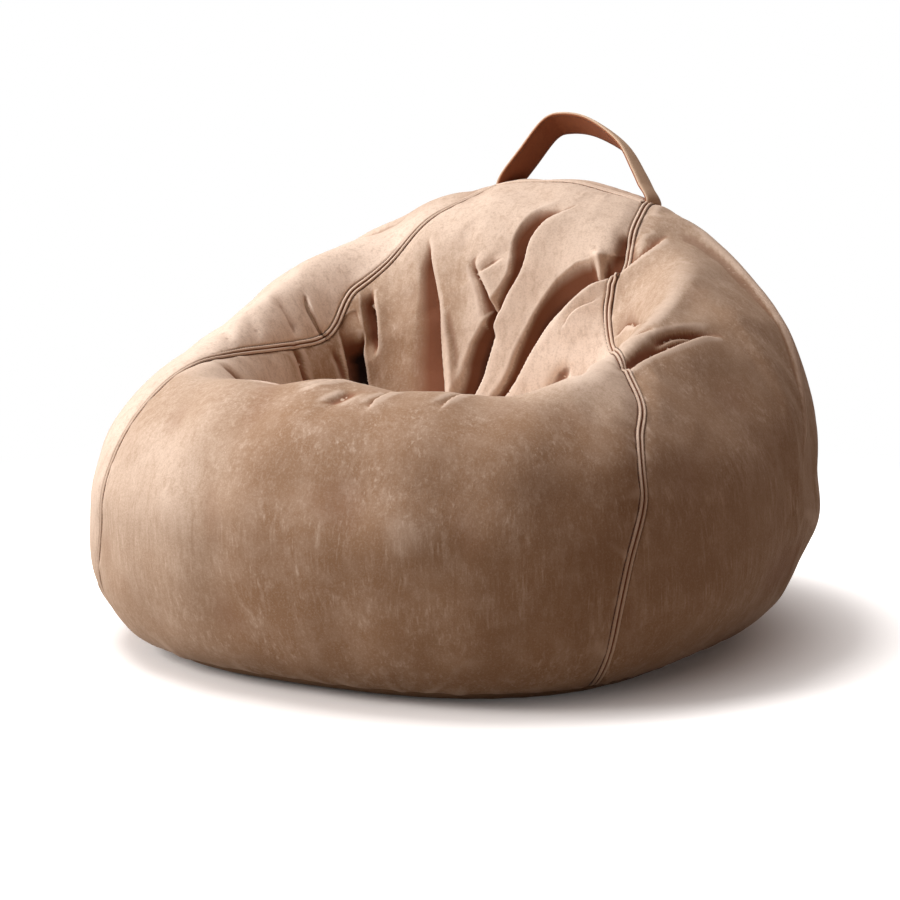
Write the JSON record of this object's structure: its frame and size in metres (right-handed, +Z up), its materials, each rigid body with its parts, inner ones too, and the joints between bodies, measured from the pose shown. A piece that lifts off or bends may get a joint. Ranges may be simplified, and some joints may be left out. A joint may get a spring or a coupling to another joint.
{
  "type": "bean bag chair",
  "caption": "Low bean bag chair with a deep seat hollow, raised backrest, side panels joined by ribbed seams, a strap handle at the top and a zip in the base.",
  "frame": {"origin": "on the floor under the middle of the bag's outline", "axes": "+Z up; the seat faces -Y; +X is to the right of someone who stands in front and looks at the seat"},
  "size_m": [1.0928, 1.1255, 0.8026],
  "materials": {
    "leather_tan": "waxed nubuck with a soft nap and faint lighter scuffs",
    "leather_dark": "smooth dark brown lining leather",
    "base_leather": "tan split leather, a shade darker than the cover",
    "zip_tape": "woven zip tape",
    "zip_metal": "antique brass",
    "liner_cloth": "undyed cotton",
    "beads": "loose white expanded polystyrene beads"
  },
  "bodies": {
    "bag": {"front_seat_panel": "leather_tan", "back_panel": "leather_tan", "left_side_panel": "leather_tan", "right_side_panel": "leather_tan", "base_panel_front": "base_leather", "base_panel_rear": "base_leather", "left_seam": "leather_tan", "right_seam": "leather_tan", "ridge_seam": "leather_tan", "base_piping": "base_leather", "zip_tape_front": "zip_tape", "zip_tape_rear": "zip_tape", "zip_teeth_front": "zip_metal", "zip_teeth_rear": "zip_metal", "zip_stop_left": "zip_metal", "zip_stop_right": "zip_metal", "liner_upper": "liner_cloth", "liner_base": "liner_cloth", "bean_fill": "beads", "handle_root_left": "leather_tan", "handle_root_right": "leather_tan", "handle_root_lining_left": "leather_dark", "handle_root_lining_right": "leather_dark"},
    "handle": {"handle_strap": "leather_tan", "handle_lining": "leather_dark"},
    "zip_slider": {"zip_slider": "zip_metal"},
    "zip_pull": {"zip_pull_tab": "zip_metal"}
  },
  "joints": [
    {"name": "handle_lean", "type": "hinge", "parent": "bag", "child": "handle", "pos_m": [0.05719, 0.34275, 0.69299], "axis": [0.9916, -0.0489, -0.12], "range_deg": [-45, 60], "deforming": ["handle_root_left", "handle_root_right", "handle_root_lining_left", "handle_root_lining_right"]},
    {"name": "zip_slide", "type": "slide", "parent": "bag", "child": "zip_slider", "axis": [-1, 0, 0], "range_m": [0, 0.57], "deforming": ["zip_teeth_front", "zip_teeth_rear"]},
    {"name": "zip_pull_swing", "type": "hinge", "parent": "zip_slider", "child": "zip_pull", "pos_m": [0.2915, -0.015, 0.00385], "axis": [0, -1, 0], "range_deg": [0, 150]}
  ]
}
